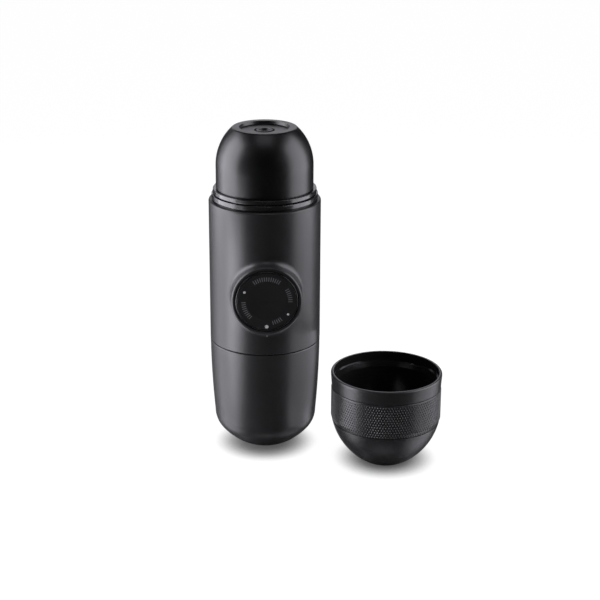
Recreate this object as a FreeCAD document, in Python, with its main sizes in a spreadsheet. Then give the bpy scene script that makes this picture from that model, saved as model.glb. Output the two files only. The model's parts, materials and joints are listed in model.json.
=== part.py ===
import FreeCAD, Part
import math
import os
import re

import Sketcher
from FreeCAD import Placement, Rotation, Vector

# Handheld manual espresso maker, standing on its water tank, with the cup stood beside it.
# Millimetres. +Z is up, the origin is the middle of the tank's foot, and the pump knob faces -Y.
# The maker, from the floor up: water tank, main body with the pump across it, outlet head.
# Pump pieces are drawn along their own Z and laid over, so that their Z points out of the knob.

SIZES = {
    # Clearances.
    "seam_gap": 0.3,          # seen gap between two outer pieces
    "fit_gap": 0.1,           # between pieces that are fixed together
    "run_gap": 0.4,           # between pieces that turn or slide past each other
    "slide_fit": 0.1,         # round a rod or a ball that is guided closely
    # Water tank.
    "tank_height": 60.9,
    "tank_inset": 0.05,       # the tank at the seam is this much inside the body's side
    "tank_wall": 2.0,
    "tank_floor": 2.2,
    "tank_side_round": 500.0,
    "heel_inset": 2.05,       # and this much where its side turns into the foot
    "heel_height": 19.4,
    "heel_round": 12.4,
    "heel_angle": 39.1,
    "sole_round": 34.4,
    # Screw threads, with three starts.
    "thread_lead": 12.0,
    "thread_turns": 0.6,
    "thread_depth": 1.2,
    "thread_root": 2.0,
    "thread_crest": 1.0,
    "thread_starts": 3,
    "spigot_inset": 5.0,
    "spigot_wall": 1.8,
    "spigot_depth": 10.6,
    "spigot_thread_drop": 9.2,
    "neck_inset": 7.4,
    "neck_thread_rise": 1.5,
    # Body.
    "body_radius": 29.0,
    "body_wall": 2.0,
    "body_height": 76.0,
    "body_shoulder": 1.6,
    "body_edge": 0.5,
    "shoulder_edge": 0.9,
    "gasket_height": 1.0,
    "deck_height": 3.6,       # lower deck, over the tank
    "upper_deck": 4.0,
    "upper_deck_drop": 15.7,  # from the body's shoulder to the deck's underside
    "chamber_depth": 1.0,
    "neck_wall": 2.7,
    "neck_height": 10.0,      # threaded part over the ring
    "ring_height": 3.2,
    "ring_inset": 1.6,
    "ring_foot_inset": 0.7,   # the ring's foot is narrower
    "ring_foot_height": 0.6,
    "ring_edge": 0.35,
    "leg_radius": 3.2,
    "leg_x": 15.3,
    "leg_y": 10.5,
    "screw_radius": 1.4,
    "screw_head": 2.5,
    "screw_head_height": 1.8,
    "screw_grip": 10.0,
    "vent_offset": 14.0,
    "vent_radius": 1.9,
    "vent_cap": 4.0,
    "vent_cap_edge": 0.4,
    "vent_cap_height": 1.3,
    # Boss and knob.
    "pump_rise": 31.4,        # knob axis over the body's lower edge
    "boss_proud": 5.3,        # from the body's side to the boss's front
    "boss_rim": 1.8,          # the boss's wall round the knob's well
    "boss_blend": 3.6,
    "boss_edge": 1.3,
    "well_depth": 15.3,
    "well_floor": 2.0,
    "knob_radius": 15.9,
    "knob_proud": 0.1,
    "knob_depth": 13.9,
    "knob_wall": 1.0,
    "knob_edge": 0.5,
    "knob_web": 3.0,
    "face_inset": 0.9,
    "face_height": 2.2,
    "face_edge": 0.25,
    "dish_radius": 9.8,
    "dish_depth": 0.45,
    "hub_inset": 2.5,
    "hub_wall": 0.8,
    "lug_gap": 0.5,
    "lug_height": 2.5,
    "lug_angle": 30.0,        # how far round each lug reaches
    "lug_turn_angle": -30.0,
    # Pump.
    "pump_bore": 7.5,
    "barrel_radius": 10.0,
    "barrel_proud": 6.0,      # the barrel's front over the well's floor
    "barrel_room": 7.0,       # from its back to the body's bore
    "rod_radius": 3.5,
    "rod_stud": 2.0,
    "gland_height": 4.5,
    "gland_pocket": 1.7,
    "cap_flange": 2.5,
    "cap_plug": 3.5,
    "piston_radius": 7.1,
    "port_land": 1.0,         # between the ports and the piston at rest
    "piston_height": 5.0,
    "piston_groove": 5.6,
    "seal_wire": 0.85,
    "small_seal_wire": 0.7,
    "lock_gap": 0.5,
    "lock_base": 1.9,
    "lock_angle": 80.0,       # how far round each land reaches
    "return_wire": 0.55,
    "return_turns": 4.0,
    "block_half": 11.8,
    "block_height": 24.0,
    "block_front": 11.0,
    "block_tail": 4.0,        # behind the ports
    "port_room": 15.0,        # from the ports to the body's bore
    "port_radius": 1.5,
    "inlet_tower": 7.0,
    "outlet_tower": 8.0,
    "valve_bore": 4.6,
    "valve_floor": 3.0,
    "outlet_valve_height": 19.0,  # from the pump axis to the top of the outlet valve's bore
    "seat_height": 2.5,
    "seat_throat": 1.5,
    "seat_mouth": 3.0,
    "seat_cone": 1.3,
    "ball_radius": 2.2,
    "valve_spring": 1.3,
    "valve_wire": 0.25,
    "valve_turns": 5.0,
    "tube_radius": 2.5,
    "tube_bore": 1.6,
    "tube_low": 10.6,
    "strainer_low": 7.6,
    "strainer_height": 7.0,
    "strainer_radius": 4.5,
    "strainer_wall": 0.8,
    "slot_width": 1.6,
    "slot_height": 3.6,
    # Brewing.
    "basket_gap": 0.6,
    "basket_wall": 0.5,
    "basket_depth": 20.2,
    "flange_inset": 1.2,
    "flange_height": 0.8,
    "plate_height": 0.7,
    "hole_radius": 0.6,
    "hole_ring_step": 3.0,
    "hole_ring_first": 4.8,
    # Outlet head.
    "dome_inset": 3.88,
    "dome_over": 1.5,        # how far past the axis the round shoulder's centre lies
    "dome_rise": 12.0,        # straight part over the head ring
    "dome_wall": 2.2,
    "head_height": 34.0,
    "head_ring_height": 2.3,
    "head_ring_inset": 2.3,
    "skirt_step": 0.42,
    "head_deck": 2.4,
    "rim_width": 3.5,
    "rim_round": 1.4,
    "rim_slope": 0.6,
    "top_dish_depth": 1.4,
    "top_dish_slope": 0.3,
    "nozzle_well": 5.3,
    "nozzle_well_depth": 1.2,
    "nozzle_flange": 4.4,
    "nozzle_flange_height": 1.5,
    "nozzle_tube": 3.3,
    "nozzle_bore": 2.4,
    "nozzle_mouth": 3.0,
    "nozzle_floor": 0.6,
    "nozzle_floor_drop": 2.4,
    "nozzle_drop": 12.0,
    "nib_radius": 0.9,
    "nib_height": 1.3,
    "head_seal_height": 1.5,
    "head_seal_lap": 0.1,
    "carrier_height": 2.5,
    "carrier_recess": 0.9,
    "ledge_width": 1.9,
    "carrier_tube": 5.0,
    "carrier_tube_height": 11.4,
    "carrier_boss": 1.7,
    "screen_height": 0.6,
    "screen_lap": 0.8,
    "flow_radius": 0.55,
    "flow_ring": 2.55,
    "small_screw": 0.9,
    "small_screw_head": 2.3,
    "small_screw_head_height": 1.0,
    # Cup, in its own frame.
    "cup_x": 62.7,
    "cup_y": -23.7,
    "cup_height": 49.4,
    "cup_lip_height": 1.5,
    "cup_lip_round": 0.7,
    "cup_lip_wall": 1.3,
    "cup_collar_inset": 0.45,  # at the seam, under the lip
    "cup_collar_drop": 7.6,   # from the lip down to the seam
    "cup_band_inset": 0.4,
    "cup_band_height": 16.5,
    "cup_taper_in": 0.68,
    "cup_taper_height": 2.4,
    "cup_step": 0.3,          # the foot stands proud of the grip band
    "cup_round": 34.3,
    "cup_foot": 10.9,
    "cup_mouth_depth": 5.0,
    "cup_ledge_in": 0.7,
    "cup_bowl_in": 0.8,
    "cup_bowl_drop": 8.0,     # from the lip down to the bowl's straight side
    "cup_bowl_rise": 3.0,     # from the taper's foot up to it
    "cup_bowl_round": 34.0,
    "cup_bowl_floor": 11.5,
    "cup_liner_wall": 1.0,
    "cup_floor": 3.2,
}

# Widths that follow from the sizes, used by name as they are.
FOLLOWING = {
    "tank_radius": "body_radius - tank_inset",
    "heel_radius": "body_radius - heel_inset",
    "spigot_radius": "body_radius - spigot_inset",
    "neck_radius": "body_radius - neck_inset",
    "neck_bore": "neck_radius - neck_wall",
    "ring_radius": "body_radius - ring_inset",
    "ring_foot": "ring_radius - ring_foot_inset",
    "boss_reach": "body_radius + boss_proud",
    "boss_radius": "knob_radius + run_gap + boss_rim",
    "face_radius": "knob_radius - face_inset",
    "hub_outer": "knob_radius - hub_inset",
    "hub_inner": "hub_outer - hub_wall",
    "lug_inner": "barrel_radius + lug_gap",
    "lock_outer": "hub_inner - lock_gap",
    "return_radius": "(hub_outer + knob_radius - knob_wall) / 2",
    "barrel_front": "boss_reach - well_depth + barrel_proud",
    "barrel_back": "body_radius - body_wall - barrel_room",
    "port_offset": "body_radius - body_wall - port_room",
    "piston_back": "port_offset - port_radius - port_land",
    "block_back": "port_offset + block_tail",
    "basket_radius": "neck_bore - basket_gap",
    "flange_radius": "neck_radius - flange_inset",
    "head_seal_inner": "basket_radius - head_seal_lap",
    "head_seal_outer": "neck_radius - run_gap",
    "carrier_ledge": "neck_bore - ledge_width",
    "screen_radius": "carrier_ledge + screen_lap",
    "dome_radius": "body_radius - dome_inset",
    "dome_round": "dome_radius + dome_over",
    "head_ring_radius": "body_radius - head_ring_inset",
    "head_skirt": "dome_radius - skirt_step",
    "cup_lip": "body_radius",
    "cup_collar": "cup_lip - cup_collar_inset",
    "cup_band": "cup_lip - cup_band_inset",
    "cup_taper": "cup_band - cup_taper_in",
    "cup_mouth": "cup_lip - cup_lip_wall",
    "cup_ledge": "cup_mouth - cup_ledge_in",
    "cup_bowl": "cup_ledge - cup_bowl_in",
    "cup_seam": "cup_height - cup_collar_drop",
}

# Levels and places that follow from the sizes, each as text for the sheet to work out.
SLEEVE_LOW = "(tank_height + seam_gap)"
SLEEVE_TOP = f"({SLEEVE_LOW} + body_height)"
DECK_LOW = "(tank_height + gasket_height)"
DECK_TOP = f"({DECK_LOW} + deck_height)"
UPPER_DECK_LOW = f"({SLEEVE_TOP} - upper_deck_drop)"
UPPER_DECK_TOP = f"({UPPER_DECK_LOW} + upper_deck)"
PLATE_LOW = f"({UPPER_DECK_TOP} + chamber_depth)"
RING_TOP = f"({SLEEVE_TOP} + ring_height)"
NECK_TOP = f"({RING_TOP} + neck_height)"
NECK_COLLAR = "(neck_radius + thread_depth + fit_gap)"
BODY_BORE = "(body_radius - body_wall)"
PUMP_LEVEL = f"({SLEEVE_LOW} + pump_rise)"
THREAD_PITCH = "(thread_lead / thread_starts)"
SPIGOT_THREAD_LOW = "(tank_height - spigot_thread_drop)"
NECK_THREAD_LOW = f"({RING_TOP} + neck_thread_rise)"
WELL_FRONT = "(boss_reach - well_depth)"
WELL_BACK = f"({WELL_FRONT} - well_floor)"
KNOB_FRONT = "(boss_reach + knob_proud)"
KNOB_BACK = f"({KNOB_FRONT} - knob_depth)"
WEB_FRONT = f"({KNOB_FRONT} - face_height)"
WEB_BACK = f"({WEB_FRONT} - knob_web)"
PISTON_FRONT = "(piston_height - piston_back)"
BLOCK_LOW = f"({PUMP_LEVEL} - block_height / 2)"
INLET_SEAT = f"({DECK_TOP} + valve_floor)"
OUTLET_SEAT = f"({PUMP_LEVEL} + barrel_radius + fit_gap)"
OUTLET_VALVE_TOP = f"({PUMP_LEVEL} + outlet_valve_height)"
HEAD_LOW = f"({RING_TOP} + seam_gap)"
HEAD_TOP = f"({HEAD_LOW} + head_height)"
HEAD_BORE = "(dome_radius - dome_wall)"
DOME_START = f"({HEAD_LOW} + head_ring_height + dome_rise)"
DOME_RIM = f"(dome_radius - dome_round + sqrt(dome_round ^ 2 - ({HEAD_TOP} - {DOME_START}) ^ 2))"
DISH_EDGE = f"({HEAD_TOP} - top_dish_depth)"
DISH_FLOOR = f"({DISH_EDGE} - top_dish_slope)"
NOZZLE_SEAT = f"({DISH_FLOOR} - nozzle_well_depth)"
HEAD_DECK_LOW = f"({DISH_FLOOR} - head_deck)"
FLANGE_LOW = NECK_TOP
FLANGE_TOP = f"({NECK_TOP} + flange_height)"
CARRIER_LOW = f"({FLANGE_TOP} + head_seal_height)"
CARRIER_CEILING = f"({CARRIER_LOW} + carrier_recess)"
CARRIER_TOP = f"({CARRIER_LOW} + carrier_height)"
CARRIER_TUBE_TOP = f"({CARRIER_TOP} + carrier_tube_height)"


def sized(text):
    """The text of an expression with every size's name pointed at the sheet."""
    def in_sheet(match):
        name = match.group()
        return f"({sized(FOLLOWING[name])})" if name in FOLLOWING else f"Sizes.{name}"
    return re.sub(r"\b[a-z]\w*\b(?!\()", in_sheet, str(text))


def number(text):
    """What an expression comes to."""
    result = sheet.evalExpression(sized(text))
    return float(getattr(result, "Value", result))


def same(first, second):
    """Whether two lengths agree to a thousandth."""
    return abs(first - second) < 1e-3


def make_sheet():
    """The spreadsheet that drives every sub-part: a name, a number and an alias to each row."""
    table = doc.addObject("Spreadsheet::Sheet", "Sizes")
    for row, (name, size) in enumerate(SIZES.items(), start=1):
        table.set(f"A{row}", name)
        table.set(f"B{row}", str(size))
        table.setAlias(f"B{row}", name)
    doc.recompute()
    return table


def new_body(label, at=None, laid_over=False):
    """A body of its own, put at `at`; laid over, its Z axis points out of the knob."""
    body = doc.addObject("PartDesign::Body", label)
    body.Label = label
    place(body, at, laid_over)
    return body


def place(part, at=None, laid_over=False):
    """Bind a sub-part's place to the sheet."""
    x, y, z = at or ("0", "0", "0")
    turn = Rotation(Vector(1, 0, 0), 90 if laid_over else 0)
    part.Placement = Placement(Vector(number(x), number(y), number(z)), turn)
    for axis, text in zip("xyz", (x, y, z)):
        part.setExpression(f"Placement.Base.{axis}", sized(text))


def sketch_on(body, name, role="XZ_Plane", offset="0"):
    """An empty sketch on one of the body's own origin planes, moved along its normal."""
    sketch = body.newObject("Sketcher::SketchObject", name)
    plane = next(item for item in body.Origin.OriginFeatures if item.Role == role)
    sketch.AttachmentSupport = [(plane, "")]
    sketch.MapMode = "FlatFace"
    sketch.AttachmentOffset = Placement(Vector(0, 0, number(offset)), Rotation())
    sketch.setExpression("AttachmentOffset.Base.z", sized(offset))
    return sketch


def constrain(sketch, kind, *where_and_text):
    """Add a constraint whose last argument is an expression, and bind it."""
    *where, text = where_and_text
    index = sketch.addConstraint(Sketcher.Constraint(kind, *where, number(text)))
    sketch.setExpression(f"Constraints[{index}]", sized(text))


def arc_between(start, end, radius):
    """The circle arc from start to end that bends left for a radius over zero, else right."""
    chord = end - start
    middle = (start + end) * 0.5
    left = Vector(-chord.y, chord.x, 0).normalize()
    rise = math.sqrt(radius ** 2 - (chord.Length / 2) ** 2)
    centre = middle + left * math.copysign(rise, radius)
    ends = (start, end) if radius > 0 else (end, start)
    angles = [math.atan2(point.y - centre.y, point.x - centre.x) for point in ends]
    return Part.ArcOfCircle(Part.Circle(centre, Vector(0, 0, 1), abs(radius)), *angles)


def outline(sketch, steps):
    """A closed outline through the steps: (x, y) ends a straight run, (x, y, radius) an arc."""
    corners = [Vector(number(step[0]), number(step[1]), 0) for step in steps]
    ends = []
    for index, step in enumerate(steps):
        start, end = corners[index - 1], corners[index]
        bends_right = len(step) == 3 and number(step[2]) < 0
        ends.append((2, 1) if bends_right else (1, 2))
        if len(step) == 3:
            sketch.addGeometry(arc_between(start, end, number(step[2])))
        else:
            sketch.addGeometry(Part.LineSegment(start, end))
    for index, step in enumerate(steps):
        following = (index + 1) % len(steps)
        sketch.addConstraint(Sketcher.Constraint(
            "Coincident", index, ends[index][1], following, ends[following][0]))
        constrain(sketch, "DistanceX", -1, 1, index, ends[index][1], step[0])
        constrain(sketch, "DistanceY", -1, 1, index, ends[index][1], step[1])
        if len(step) == 3:
            constrain(sketch, "Radius", index, f"abs({step[2]})")


def circles(sketch, places):
    """Circles at (x, y, radius)."""
    for index, (x, y, radius) in enumerate(places):
        centre = Vector(number(x), number(y), 0)
        sketch.addGeometry(Part.Circle(centre, Vector(0, 0, 1), number(radius)))
        constrain(sketch, "DistanceX", -1, 1, index, 3, x)
        constrain(sketch, "DistanceY", -1, 1, index, 3, y)
        constrain(sketch, "Radius", index, radius)


def revolve(body, name, steps, degrees=None):
    """Turn an outline in (radius, height) about the body's Z axis, by 360 degrees if none are given."""
    sketch = sketch_on(body, name + "Outline")
    outline(sketch, steps)
    turned = body.newObject("PartDesign::Revolution", name)
    turned.Profile = sketch
    turned.ReferenceAxis = (sketch, ["V_Axis"])
    turned.Angle = 360
    if degrees:
        turned.Midplane = True
        turned.setExpression("Angle", sized(degrees))
    return turned


def turned_part(label, steps, at=None, laid_over=False):
    """A body that is one revolved outline."""
    body = new_body(label, at, laid_over)
    revolve(body, "Turned", steps)
    return body


def pad(body, name, sketch, length, reverse=False):
    """Raise a sketch along its normal, or against it."""
    raised = body.newObject("PartDesign::Pad", name)
    raised.Profile = sketch
    raised.setExpression("Length", sized(length))
    raised.Reversed = reverse
    return raised


def pocket(body, name, sketch, length, reverse=False):
    """Cut a sketch against its normal, or along it; it has to remove something."""
    doc.recompute()
    before = body.Shape.Volume
    cut = body.newObject("PartDesign::Pocket", name)
    cut.Profile = sketch
    cut.setExpression("Length", sized(length))
    cut.Reversed = reverse
    doc.recompute()
    if not body.Shape.Volume < before - 1e-6:
        raise ValueError(f"{body.Label} {name} cuts nothing")
    return cut


def drill(body, name, x, y, radius, low, high):
    """A round hole along Z from `high` down to `low`."""
    sketch = sketch_on(body, name + "Circle", "XY_Plane", high)
    circles(sketch, [(x, y, radius)])
    return pocket(body, name, sketch, f"{high} - ({low})")


def around(body, name, feature, count):
    """Repeat a feature about the body's Z axis."""
    pattern = body.newObject("PartDesign::PolarPattern", name)
    pattern.Originals = [feature]
    z_axis = next(item for item in body.Origin.OriginFeatures if item.Role == "Z_Axis")
    pattern.Axis = (z_axis, [""])
    pattern.Angle = 360
    if isinstance(count, str):
        pattern.setExpression("Occurrences", sized(count))
    else:
        pattern.Occurrences = count
    body.Tip = pattern
    doc.recompute()
    return pattern


def edges_where(body, passes):
    """The names of the edges whose every point passes."""
    doc.recompute()
    names = []
    for index, edge in enumerate(body.Tip.Shape.Edges, start=1):
        if not edge.Degenerated and all(passes(point) for point in edge.discretize(9)):
            names.append(f"Edge{index}")
    if not names:
        raise ValueError(f"{body.Label} has no such edge")
    return names


def fillet(body, name, edges, radius):
    """Round the named edges."""
    base = body.Tip
    feature = body.newObject("PartDesign::Fillet", name)
    feature.Base = (base, edges)
    feature.setExpression("Radius", sized(radius))
    body.Tip = feature
    return feature


def soften(body, name, size, rims):
    """Round the circular edges about Z at each (radius, height)."""
    wanted = [(number(radius), number(height)) for radius, height in rims]

    def on_rim(point):
        found = (math.hypot(point.x, point.y), point.z)
        return any(same(math.dist(found, rim), 0) for rim in wanted)

    edges = edges_where(body, on_rim)
    if len(edges) != len(wanted):
        raise ValueError(f"{body.Label} {name} found {len(edges)} of {len(wanted)} edges")
    fillet(body, name, edges, size)


def thread(body, name, wall, low, outward=True, half_pitch=False):
    """Screw ridges on a wall at radius `wall`: one swept round, then repeated for each start."""
    sign = "+" if outward else "-"
    sink = "thread_depth / 4"
    foot = f"({wall} - {sink})" if outward else f"({wall} + {sink})"
    crest = f"({wall} {sign} thread_depth)"
    middle = f"({low} + {THREAD_PITCH} / 2)" if half_pitch else low
    root_half = "thread_root * 5 / 8"
    sketch = sketch_on(body, name + "Ridge")
    outline(sketch, [
        (foot, f"{middle} - {root_half}"),
        (crest, f"{middle} - thread_crest / 2"),
        (crest, f"{middle} + thread_crest / 2"),
        (foot, f"{middle} + {root_half}"),
    ])
    ridge = body.newObject("PartDesign::AdditiveHelix", name)
    ridge.Profile = sketch
    ridge.ReferenceAxis = (sketch, ["V_Axis"])
    ridge.Mode = "pitch-turns-angle"
    ridge.setExpression("Pitch", sized("thread_lead"))
    turns = "thread_turns * 3 / 4" if half_pitch else "thread_turns"
    ridge.setExpression("Turns", sized(turns))
    around(body, name + "Starts", ridge, "thread_starts")


def coil(label, radius, wire, low, high, turns, at=None, laid_over=False):
    """A coil spring whose wire's middle runs from `low` to `high`."""
    body = new_body(label, at, laid_over)
    sketch = sketch_on(body, "Wire")
    circles(sketch, [(radius, low, wire)])
    spring = body.newObject("PartDesign::AdditiveHelix", "Coil")
    spring.Profile = sketch
    spring.ReferenceAxis = (sketch, ["V_Axis"])
    spring.Mode = "height-turns-angle"
    spring.setExpression("Height", sized(f"{high} - {low}"))
    spring.setExpression("Turns", sized(turns))
    return body


def seal_ring(label, radius, wire, at, laid_over=False):
    """A round-section ring."""
    ring = doc.addObject("Part::Torus", label)
    ring.Label = label
    ring.setExpression("Radius1", sized(radius))
    ring.setExpression("Radius2", sized(wire))
    place(ring, at, laid_over)
    return ring


def perforate(body, reach, high, thick):
    """Rings of small holes over a plate, from the first ring out to `reach`."""
    ring = 0
    while number(f"hole_ring_first + {ring} * hole_ring_step + 2 * hole_radius") < number(reach):
        radius = f"hole_ring_first + {ring} * hole_ring_step"
        hole = drill(body, f"Hole{ring}", radius, "0", "hole_radius", f"{high} - {thick}", high)
        around(body, f"HoleRing{ring}", hole, 10 + 6 * ring)
        ring += 1


def make_tank():
    """The vessel: a taper, a round heel, a rounder sole, a flat foot and a threaded mouth."""
    heel = ("(heel_radius - heel_round)", "heel_height")
    sole_from = (f"({heel[0]} + heel_round * cos(heel_angle))",
                 f"({heel[1]} - heel_round * sin(heel_angle))")
    sole = (f"({sole_from[0]} - sole_round * cos(heel_angle))",
            f"({sole_from[1]} + sole_round * sin(heel_angle))")
    foot = f"({sole[0]} + sqrt(sole_round ^ 2 - {sole[1]} ^ 2))"
    mouth = "(spigot_radius + thread_depth + run_gap)"
    inner_sole = "(sole_round - tank_wall)"
    floor = f"({sole[0]} + sqrt({inner_sole} ^ 2 - ({sole[1]} - tank_floor) ^ 2))"
    inner_heel = "(heel_round - tank_wall)"
    inner_from = (f"({heel[0]} + {inner_heel} * cos(heel_angle))",
                  f"({heel[1]} - {inner_heel} * sin(heel_angle))")
    shelf = f"({SPIGOT_THREAD_LOW} - thread_root)"
    body = turned_part("water_tank", [
        ("0", "0"),
        (foot, "0"),
        (*sole_from, "sole_round"),
        ("heel_radius", "heel_height", "heel_round"),
        ("tank_radius", "tank_height", "tank_side_round"),
        (mouth, "tank_height"),
        (mouth, shelf),
        ("heel_radius - tank_wall", "heel_height"),
        (*inner_from, f"-{inner_heel}"),
        (floor, "tank_floor", f"-{inner_sole}"),
        ("0", "tank_floor"),
    ])
    soften(body, "TopEdge", "body_edge", [("tank_radius", "tank_height")])
    thread(body, "MouthThread", mouth, SPIGOT_THREAD_LOW, outward=False, half_pitch=True)


def make_tank_gasket():
    """The flat ring between the tank's rim and the lower deck."""
    inner = "(spigot_radius + run_gap)"
    outer = f"({BODY_BORE} - seam_gap)"
    turned_part("tank_gasket", [
        (inner, "tank_height"),
        (outer, "tank_height"),
        (outer, DECK_LOW),
        (inner, DECK_LOW),
    ])


def make_tank_coupling():
    """The lower deck, with the threaded spigot that goes into the tank."""
    edge = f"({BODY_BORE} - fit_gap)"
    low = "(tank_height - spigot_depth)"
    body = turned_part("tank_coupling", [
        ("0", DECK_LOW),
        ("spigot_radius - spigot_wall", DECK_LOW),
        ("spigot_radius - spigot_wall", low),
        ("spigot_radius", low),
        ("spigot_radius", DECK_LOW),
        (edge, DECK_LOW),
        (edge, DECK_TOP),
        ("0", DECK_TOP),
    ])
    drill(body, "TubeHole", "0", "port_offset", "tube_radius + fit_gap", DECK_LOW, DECK_TOP)
    drill(body, "VentHole", "0", "-vent_offset", "vent_radius + fit_gap", DECK_LOW, DECK_TOP)
    head_seat = f"({DECK_LOW} + screw_head_height + fit_gap)"
    for index, (x, y) in enumerate(leg_places()):
        drill(body, f"ScrewHole{index}", x, y, "screw_radius + fit_gap", DECK_LOW, DECK_TOP)
        drill(body, f"HeadSeat{index}", x, y, "screw_head + fit_gap", DECK_LOW, head_seat)
    thread(body, "SpigotThread", "spigot_radius", SPIGOT_THREAD_LOW)


def leg_places():
    """Where the four legs and their screws stand."""
    return [(f"{right} * leg_x", f"{back} * leg_y") for right in (-1, 1) for back in (-1, 1)]


def make_air_vent():
    """The rubber mushroom that lets air into the tank as water leaves it."""
    turned_part("air_vent", [
        ("0", f"{DECK_LOW} - vent_radius / 2"),
        ("vent_radius", f"{DECK_LOW} - vent_radius / 2"),
        ("vent_radius", DECK_TOP),
        ("vent_cap", DECK_TOP),
        ("vent_cap", f"{DECK_TOP} + vent_cap_edge"),
        ("vent_radius", f"{DECK_TOP} + vent_cap_height"),
        ("0", f"{DECK_TOP} + vent_cap_height"),
    ], at=("0", "-vent_offset", "0"))


def make_sleeve():
    """The straight outer body: a tube with a shoulder on top and the boss for the knob in front."""
    body = turned_part("body_sleeve", [
        (BODY_BORE, SLEEVE_LOW),
        ("body_radius", SLEEVE_LOW),
        ("body_radius", SLEEVE_TOP),
        (f"{NECK_COLLAR} + fit_gap", SLEEVE_TOP),
        (f"{NECK_COLLAR} + fit_gap", f"{SLEEVE_TOP} - body_shoulder"),
        (BODY_BORE, f"{SLEEVE_TOP} - body_shoulder"),
    ])
    soften(body, "LowEdge", "body_edge", [("body_radius", SLEEVE_LOW)])
    soften(body, "ShoulderEdge", "shoulder_edge", [("body_radius", SLEEVE_TOP)])
    boss = sketch_on(body, "BossCircle", "XZ_Plane", "boss_reach")
    circles(boss, [("0", PUMP_LEVEL, "boss_radius")])
    pad(body, "Boss", boss, f"boss_reach - {WELL_BACK}", reverse=True)
    blend_boss(body)
    well = sketch_on(body, "WellCircle", "XZ_Plane", "boss_reach")
    circles(well, [("0", PUMP_LEVEL, "knob_radius + run_gap")])
    pocket(body, "Well", well, "well_depth")
    opening = sketch_on(body, "BarrelCircle", "XZ_Plane", WELL_FRONT)
    circles(opening, [("0", PUMP_LEVEL, "barrel_radius + fit_gap")])
    pocket(body, "BarrelHole", opening, "2 * well_floor")


def blend_boss(body):
    """Run the boss into the body with a hollow blend, and round its front edge."""
    level = number(PUMP_LEVEL)

    def on_join(point):
        on_boss = same(math.hypot(point.x, point.z - level), number("boss_radius"))
        return on_boss and same(math.hypot(point.x, point.y), number("body_radius"))

    def on_rim(point):
        return same(point.y, -number("boss_reach"))

    fillet(body, "BossBlend", edges_where(body, on_join), "boss_blend")
    fillet(body, "BossEdge", edges_where(body, on_rim), "boss_edge")


def make_neck_ring():
    """The lower gloss ring, on the body's shoulder round the neck, with a narrower foot."""
    inner = f"({NECK_COLLAR} + fit_gap)"
    foot_top = f"({SLEEVE_TOP} + ring_foot_height)"
    body = turned_part("neck_ring", [
        (inner, SLEEVE_TOP),
        ("ring_foot", SLEEVE_TOP),
        ("ring_foot", foot_top),
        ("ring_radius", foot_top),
        ("ring_radius", RING_TOP),
        (inner, RING_TOP),
    ])
    soften(body, "Edges", "ring_edge",
           [("ring_radius", foot_top), ("ring_radius", RING_TOP)])


def make_chassis():
    """The upper deck: four legs below it, the brewing chamber and the threaded neck over it."""
    edge = f"({BODY_BORE} - fit_gap)"
    body = turned_part("pump_chassis", [
        ("0", UPPER_DECK_LOW),
        (edge, UPPER_DECK_LOW),
        (edge, UPPER_DECK_TOP),
        (NECK_COLLAR, UPPER_DECK_TOP),
        (NECK_COLLAR, RING_TOP),
        ("neck_radius", RING_TOP),
        ("neck_radius", NECK_TOP),
        ("neck_bore", NECK_TOP),
        ("neck_bore", PLATE_LOW),
        ("carrier_ledge", PLATE_LOW),
        ("carrier_ledge", UPPER_DECK_TOP),
        ("0", UPPER_DECK_TOP),
    ])
    for index, (x, y) in enumerate(leg_places()):
        leg = sketch_on(body, f"LegCircle{index}", "XY_Plane", DECK_TOP)
        circles(leg, [(x, y, "leg_radius")])
        pad(body, f"Leg{index}", leg, f"{UPPER_DECK_LOW} - {DECK_TOP}")
        drill(body, f"LegHole{index}", x, y, "screw_radius + fit_gap",
              DECK_TOP, f"({DECK_TOP} + screw_grip + 1)")
    drill(body, "WaterHole", "0", "port_offset", "port_radius", UPPER_DECK_LOW, UPPER_DECK_TOP)
    drill(body, "PlateScrewHole", "0", "0", "small_screw + fit_gap",
          f"({UPPER_DECK_LOW} + 1)", UPPER_DECK_TOP)
    thread(body, "NeckThread", "neck_radius", NECK_THREAD_LOW)


def make_frame_screws():
    """Four equal screws up through the lower deck into the legs."""
    pieces = []
    for index, (x, y) in enumerate(leg_places()):
        for name, radius, low, height in (
                ("Head", "screw_head", DECK_LOW, "screw_head_height"),
                ("Shank", "screw_radius", DECK_LOW, "deck_height + screw_grip")):
            cylinder = doc.addObject("Part::Cylinder", f"Screw{name}{index}")
            cylinder.setExpression("Radius", sized(radius))
            cylinder.setExpression("Height", sized(height))
            place(cylinder, (x, y, low))
            pieces.append(cylinder)
    screws = doc.addObject("Part::MultiFuse", "frame_screws")
    screws.Label = "frame_screws"
    screws.Shapes = pieces


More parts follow.
